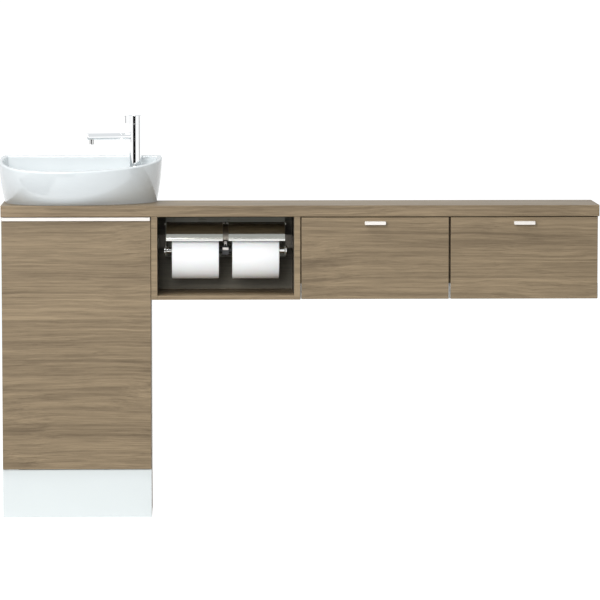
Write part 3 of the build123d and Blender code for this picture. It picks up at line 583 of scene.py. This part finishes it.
finishes = {
    # colour, roughness, brushing and its depth, then metallic where it isn't 1
    "satin": brushedFinish(
        "satinAluminium", (0.78, 0.74, 0.70), 0.42, (5.0, 1500.0, 1500.0), 0.00003, 0.45,
    ),
    # painted highlight: the hinge rod is paler and less metallic than steel, so that it shows bright
    # in the shade under the counter
    "rodSteelPaintedHighlight": brushedFinish("rodSteelPaintedHighlight", (0.86, 0.85, 0.80), 0.35, alongBar, 0.00001, 0.5),
    "coverSteel": brushedFinish(
        "coverSteel", (0.43, 0.43, 0.39), 0.12, alongBar, 0.00001, 1.0,
        # the covers' lower edge gets a painted highlight
        (coverHighlightTop, (0.93, 0.93, 0.90), 0.75),
    ),
    # the holder frame is steel; its dark colour and low metallic are painted shade and painted
    # reflection of the dark niche
    "steelPaintedShade": brushedFinish(
        "polishedSteelPaintedShade", (0.26, 0.255, 0.215), 0.3, alongBar, 0.00001, 0.3,
    ),
    "bracketSteel": brushedFinish(
        "bracketSteel", (0.16, 0.145, 0.125), 0.3, (900.0, 900.0, 4.0), 0.00001,
    ),
    # colour, roughness, its change, size of the marks, grain and how much the marks dull the colour
    "chrome": plainFinish(
        "chromePlate", (0.93, 0.935, 0.94), 0.035, 0.03, 40.0, 0.0, 0.985, Metallic=1.0,
    ),
    "dullChrome": plainFinish(
        "dullChrome", (0.70, 0.70, 0.69), 0.16, 0.06, 60.0, 0.0, 0.95, Metallic=1.0,
    ),
    "zinc": plainFinish(
        "zincSteel", (0.62, 0.63, 0.62), 0.38, 0.12, 90.0, 0.00003, 0.86, Metallic=1.0,
    ),
    "brass": plainFinish(
        "turnedBrass", (0.72, 0.56, 0.30), 0.30, 0.1, 90.0, 0.00002, 0.88, Metallic=1.0,
    ),
    "white": plainFinish(
        "whiteGlossBoard", (0.70, 0.745, 0.75), 0.16, 0.06, 7.0, 0.00004, 0.985, Coat_Weight=0.4,
    ),
    "resin": plainFinish("whiteResin", (0.74, 0.745, 0.73), 0.38, 0.1, 60.0, 0.00008, 0.95),
    "black": plainFinish("blackPlastic", (0.03, 0.03, 0.032), 0.42, 0.1, 60.0, 0.00008, 0.8),
    "knob": plainFinish("knobPlastic", (0.10, 0.105, 0.11), 0.4, 0.1, 60.0, 0.0001, 0.85),
    "glaze": glazeFinish(),
    "paper": paperFinish(),
    "card": boardCore(),
}

nichePaintedShadeZone = {  # where the niche's boards show painted shade, a darker copy of the laminate
    "side": 0.0145,  # in from the outer faces, so that the sides' inner faces are in it
    "front": -0.1965,  # the boards' front edges are left out
    "back": -0.002,  # the back panel's rear face is left out
    "head": 0.7285,
    "overFloor": 0.0004,  # the floor's own upper face is left out
}


def nichePaintedShadeBox():
    left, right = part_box("niche_left_side")[0].x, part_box("niche_right_side")[1].x
    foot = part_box("niche_floor")[1].z + nichePaintedShadeZone["overFloor"]
    return (
        (left + nichePaintedShadeZone["side"], nichePaintedShadeZone["front"], foot),
        (right - nichePaintedShadeZone["side"], nichePaintedShadeZone["back"], nichePaintedShadeZone["head"]),
    )


woods = {
    "counter": woodFinish("counterLaminate", (0.31, 0.07, 0.42)),
    "door": woodFinish("doorLaminate", (2.4, 0.3, 1.15)),
    "flapA": woodFinish("flapLaminateLeft", (5.2, 0.9, 3.35)),
    "flapB": woodFinish("flapLaminateRight", (5.2, 0.9, 3.35)),
    "carcass": woodFinish("carcassLaminate", (8.1, 4.2, 2.6)),
    "niche": woodFinish("nicheLaminate", (3.3, 1.7, 6.4), nichePaintedShadeBox()),
}

nodeFinish = {
    "counter": woods["counter"],
    "base_door": woods["door"], "cabinet_a_flap": woods["flapA"], "cabinet_b_flap": woods["flapB"],
    "niche_left_side": woods["niche"], "niche_right_side": woods["niche"],
    "niche_floor": woods["niche"], "niche_back": woods["niche"],
    "plinth": finishes["white"],
    "base_door_pull": finishes["satin"],
    "cabinet_a_tab": finishes["satin"], "cabinet_b_tab": finishes["satin"],
    "base_door_strike": finishes["zinc"],
    "cabinet_a_strike": finishes["zinc"], "cabinet_b_strike": finishes["zinc"],
    "catch_magnets": finishes["resin"], "pivot_brackets": finishes["zinc"],
    "basin": finishes["glaze"],
    "drain_flange": finishes["chrome"], "lock_nuts": finishes["brass"],
    "tailpiece": finishes["chrome"], "trap_bend": finishes["chrome"], "waste_arm": finishes["chrome"],
    "pipe_nuts": finishes["chrome"], "escutcheons": finishes["chrome"],
    "tap_body": finishes["chrome"], "tap_spout": finishes["chrome"], "tap_handle": finishes["chrome"],
    "tap_aerator": finishes["dullChrome"],
    "stop_valve": finishes["chrome"], "stop_valve_knob": finishes["knob"],
    "supply_pipe": finishes["chrome"], "supply_nuts": finishes["brass"],
    "holder_frame": finishes["steelPaintedShade"], "holder_brackets": finishes["bracketSteel"],
    "holder_centre_arm": finishes["bracketSteel"], "holder_spindle_block": finishes["black"],
    "holder_hinge_rod": finishes["rodSteelPaintedHighlight"],
    "holder_cover_left": finishes["coverSteel"], "holder_cover_right": finishes["coverSteel"],
    "spindle_tip_left": finishes["dullChrome"], "spindle_tip_right": finishes["dullChrome"],
    "paper_left": finishes["paper"], "paper_right": finishes["paper"],
    "paper_core_left": finishes["card"], "paper_core_right": finishes["card"],
}

for name, solid in nodes.items():
    finish = nodeFinish.get(name, woods["carcass"])
    if solid.material_slots:
        for slot in solid.material_slots:
            slot.material = finish
    else:
        solid.data.materials.append(finish)
print("finishes are on the solids")


# Modelling helpers

def startEdit():
    bpy.ops.object.mode_set(mode="EDIT")


def pickFaces(test):
    # selects the faces that test says yes to, in edit mode
    mesh = bmesh.from_edit_mesh(bpy.context.object.data)
    bpy.ops.mesh.select_mode(type="FACE")
    bpy.ops.mesh.select_all(action="DESELECT")
    for face in mesh.faces:
        face.select = bool(test(face))
    mesh.select_flush_mode()
    bmesh.update_edit_mesh(bpy.context.object.data)


def endEdit():
    bpy.ops.mesh.select_all(action="SELECT")
    bpy.ops.mesh.normals_make_consistent(inside=False)
    bpy.ops.object.mode_set(mode="OBJECT")


def roundEdges(piece, width):
    rounding = piece.modifiers.new("rounding", "BEVEL")
    rounding.width = width
    rounding.segments = 2
    bpy.ops.object.modifier_apply(modifier=rounding.name)


def settle(piece, finish, body, angle=35):
    # the finished piece stands at the origin with its place in its mesh
    selectNone()
    piece.select_set(True)
    bpy.context.view_layer.objects.active = piece
    bpy.ops.object.transform_apply(location=True, rotation=True, scale=True)
    bpy.ops.object.shade_smooth_by_angle(angle=radians(angle))
    piece.data.materials.clear()
    piece.data.materials.append(finish)
    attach(piece, body)


# Paper rolls

rollShape = {
    "edgeRound": 0.0022,
    "edgeStart": 0.3,  # share of the rounding where the end's slope begins
    "rings": 11,  # ridges of the wound layers on each end
    "ringDepth": 0.0005,
    "segments": 96,
    "radiusLess": 0.0003,  # it stays inside the plain roll that it stands in for
    "widthLess": 0.0004,
    "weld": 0.00005,
    "smoothAngle": 50,
}


def makeRoll(name, node, body):
    low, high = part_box(node)
    middle = (low + high) / 2
    radius = (high.z - low.z) / 2 - rollShape["radiusLess"]
    width = high.x - low.x - rollShape["widthLess"]
    coreLow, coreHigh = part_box(node.replace("paper", "paper_core"))
    coreRadius = (coreHigh.z - coreLow.z) / 2
    selectNone()
    bpy.ops.mesh.primitive_circle_add(
        vertices=rollShape["segments"], radius=coreRadius, location=middle, rotation=(0, pi / 2, 0),
    )
    roll = bpy.context.object
    roll.name = name
    startEdit()
    bpy.ops.mesh.select_all(action="SELECT")
    bpy.ops.transform.translate(value=(-width / 2, 0, 0))
    steps = rollShape["rings"]
    now = coreRadius
    face = radius - rollShape["edgeRound"]
    profile = []
    for ring in range(steps):
        outer = coreRadius + (face - coreRadius) * (ring + 1) / steps
        dip = rollShape["ringDepth"] * (0.5 if ring % 2 else 1.0)
        profile.append((outer - (face - coreRadius) / steps / 2, dip))
        profile.append((outer, 0.0))
    slope = rollShape["edgeRound"] * rollShape["edgeStart"]
    profile.append((radius - slope, slope))
    profile.append((radius, rollShape["edgeRound"]))
    along = 0.0
    for outer, depth in profile:
        bpy.ops.mesh.extrude_edges_move(TRANSFORM_OT_translate={"value": (depth - along, 0, 0)})
        bpy.ops.transform.resize(value=(1, outer / now, outer / now), center_override=middle)
        now, along = outer, depth
    run = width - 2 * rollShape["edgeRound"]
    bpy.ops.mesh.extrude_edges_move(TRANSFORM_OT_translate={"value": (run, 0, 0)})
    along += run
    for outer, depth in [(o, width - d) for o, d in reversed(profile[:-1])] + [(coreRadius, width)]:
        bpy.ops.mesh.extrude_edges_move(TRANSFORM_OT_translate={"value": (depth - along, 0, 0)})
        bpy.ops.transform.resize(value=(1, outer / now, outer / now), center_override=middle)
        now, along = outer, depth
    bpy.ops.mesh.extrude_edges_move(TRANSFORM_OT_translate={"value": (-width, 0, 0)})
    bpy.ops.mesh.select_all(action="SELECT")
    bpy.ops.mesh.remove_doubles(threshold=rollShape["weld"])
    endEdit()
    settle(roll, finishes["paper"], body, rollShape["smoothAngle"])
    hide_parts(node)


makeRoll("paperRollLeft", "paper_left", "roll_left")
makeRoll("paperRollRight", "paper_right", "roll_right")
print("paper rolls are made")


# Screws that hold the brackets and the cabinets

screw = {
    "head": 0.0036,
    "height": 0.0016,
    "socket": 0.0019,
    "depth": 0.0009,
    "edge": 0.0004,
    "sides": 24,
    "bracketRows": (0.007, 0.019),  # behind the boards' front edge
    "bracketSide": 0.028,  # out from the corner
    "bracketSheet": 0.0015,
    "railEnd": 0.04,
    "railEdge": 0.03,
    "holderEdge": 0.008,  # in from the bracket's upper and lower edge
    "holderFront": 0.012,
    "holderSheet": 0.002,
}


def makeScrewHead():
    selectNone()
    bpy.ops.mesh.primitive_cylinder_add(
        vertices=screw["sides"], radius=screw["head"], depth=screw["height"],
        location=(0, 0, screw["height"] / 2),
    )
    head = bpy.context.object
    startEdit()
    pickFaces(lambda face: face.normal.z > 0.9)
    bpy.ops.mesh.inset(thickness=screw["head"] - screw["socket"], depth=0)
    bpy.ops.mesh.extrude_region_move(TRANSFORM_OT_translate={"value": (0, 0, -screw["depth"])})
    endEdit()
    roundEdges(head, screw["edge"])
    return head


def placeScrews(name, places, finish, body):
    # places: a point on the surface and the way that the head faces
    first = makeScrewHead()
    copies = []
    for point, way in places:
        one = first.copy()
        one.data = first.data.copy()
        one.location = point
        one.rotation_euler = Vector(way).to_track_quat("Z", "Y").to_euler()
        scene.collection.objects.link(one)
        copies.append(one)
    selectNone()
    bpy.data.objects.remove(first)
    for one in copies:
        one.select_set(True)
    bpy.context.view_layer.objects.active = copies[0]
    bpy.ops.object.join()
    joined = bpy.context.object
    joined.name = name
    settle(joined, finish, body)


def bracketScrewPlaces():
    places = []
    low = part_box("base_bottom")[1].z
    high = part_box("base_front_rail")[0].z
    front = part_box("base_bottom")[0].y
    rows = [front + row for row in screw["bracketRows"]]
    side, sheet = screw["bracketSide"], screw["bracketSheet"]
    for y in rows:
        places.append(((side, y, low + sheet), (0, 0, 1)))
        places.append(((side, y, high - sheet), (0, 0, -1)))
    for cabinet in ("cabinet_a", "cabinet_b"):
        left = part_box(cabinet + "_left_side")[1].x
        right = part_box(cabinet + "_right_side")[0].x
        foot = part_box(cabinet + "_left_side")[0].z
        for y in rows:
            places.append(((left + sheet, y, foot + side), (1, 0, 0)))
            places.append(((right - sheet, y, foot + side), (-1, 0, 0)))
    return places


def railScrewPlaces():
    low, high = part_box("base_back_rails")
    places = []
    for x in (low.x + screw["railEnd"], high.x - screw["railEnd"]):
        for z in (low.z + screw["railEdge"], high.z - screw["railEdge"]):
            places.append(((x, low.y, z), (0, -1, 0)))
    return places


def holderScrewPlaces():
    left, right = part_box("niche_left_side")[1].x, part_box("niche_right_side")[0].x
    low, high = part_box("holder_brackets")
    y, sheet = low.y + screw["holderFront"], screw["holderSheet"]
    places = []
    for z in (low.z + screw["holderEdge"], high.z - screw["holderEdge"]):
        places.append(((left + sheet, y, z), (1, 0, 0)))
        places.append(((right - sheet, y, z), (-1, 0, 0)))
    return places


placeScrews("bracketScrews", bracketScrewPlaces(), finishes["zinc"], "unit")
placeScrews("railScrews", railScrewPlaces(), finishes["zinc"], "unit")
placeScrews("holderScrews", holderScrewPlaces(), finishes["dullChrome"], "unit")
print("screws are in")


# Bright plates in front of the spindle block and the arm's end: painted highlights

plates = {
    "spindleHighlightPlate": {"node": "holder_spindle_block", "wide": 0.0145, "foot": 0.6425, "head": 0.6485},
    "armEndHighlightPlate": {"node": "holder_centre_arm", "wide": 0.0070, "foot": 0.6530, "head": 0.6635},
    "thick": 0.0012,
    "edge": 0.0004,
    "lookFrom": -0.4,  # the front of the node is looked for from here
}


def makePlate(name):
    plate = plates[name]
    low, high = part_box(plate["node"])
    x, z = (low.x + high.x) / 2, (plate["foot"] + plate["head"]) / 2
    start = Vector((x, plates["lookFrom"], z))
    found, point = nodes[plate["node"]].ray_cast(start, Vector((0, 1, 0)))[:2]
    if not found:
        print(name, "has nothing to sit on")
        return
    selectNone()
    bpy.ops.mesh.primitive_cube_add(
        size=1, location=(x, point.y - plates["thick"] / 2, z),
        scale=(plate["wide"], plates["thick"], plate["head"] - plate["foot"]),
    )
    piece = bpy.context.object
    piece.name = name
    bpy.ops.object.transform_apply(location=True, rotation=True, scale=True)
    roundEdges(piece, plates["edge"])
    # the plate's bright satin is a painted highlight
    settle(piece, finishes["satin"], "unit")
    print(name, "sits at", round(point.y, 4))


makePlate("spindleHighlightPlate")
makePlate("armEndHighlightPlate")


# Strainer in the drain

strainer = {
    "drop": 0.007,
    "reach": 0.0169,
    "ring": 0.0012,
    "bar": 0.0016,
    "bars": 3,
    "barShort": 0.002,
    "edge": 0.0004,
    "segments": 48,
    "ringSegments": 10,
}


def makeStrainer():
    low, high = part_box("drain_flange")
    middle = Vector(((low.x + high.x) / 2, (low.y + high.y) / 2, high.z - strainer["drop"]))
    selectNone()
    bpy.ops.mesh.primitive_torus_add(
        location=middle,
        major_radius=strainer["reach"] - strainer["ring"], minor_radius=strainer["ring"],
        major_segments=strainer["segments"], minor_segments=strainer["ringSegments"],
    )
    parts = [bpy.context.object]
    for turn in range(strainer["bars"]):
        selectNone()
        bpy.ops.mesh.primitive_cube_add(
            size=1, location=middle, rotation=(0, 0, pi * turn / strainer["bars"]),
            scale=(2 * strainer["reach"] - strainer["barShort"], strainer["bar"], strainer["bar"]),
        )
        bar = bpy.context.object
        bpy.ops.object.transform_apply(location=True, rotation=True, scale=True)
        roundEdges(bar, strainer["edge"])
        parts.append(bar)
    selectNone()
    parts[0].select_set(True)
    bpy.context.view_layer.objects.active = parts[0]
    bpy.ops.object.transform_apply(location=True, rotation=True, scale=True)
    for part in parts:
        part.select_set(True)
    bpy.ops.object.join()
    joined = bpy.context.object
    joined.name = "drainStrainer"
    settle(joined, finishes["dullChrome"], "unit")


makeStrainer()
print("strainer is in")
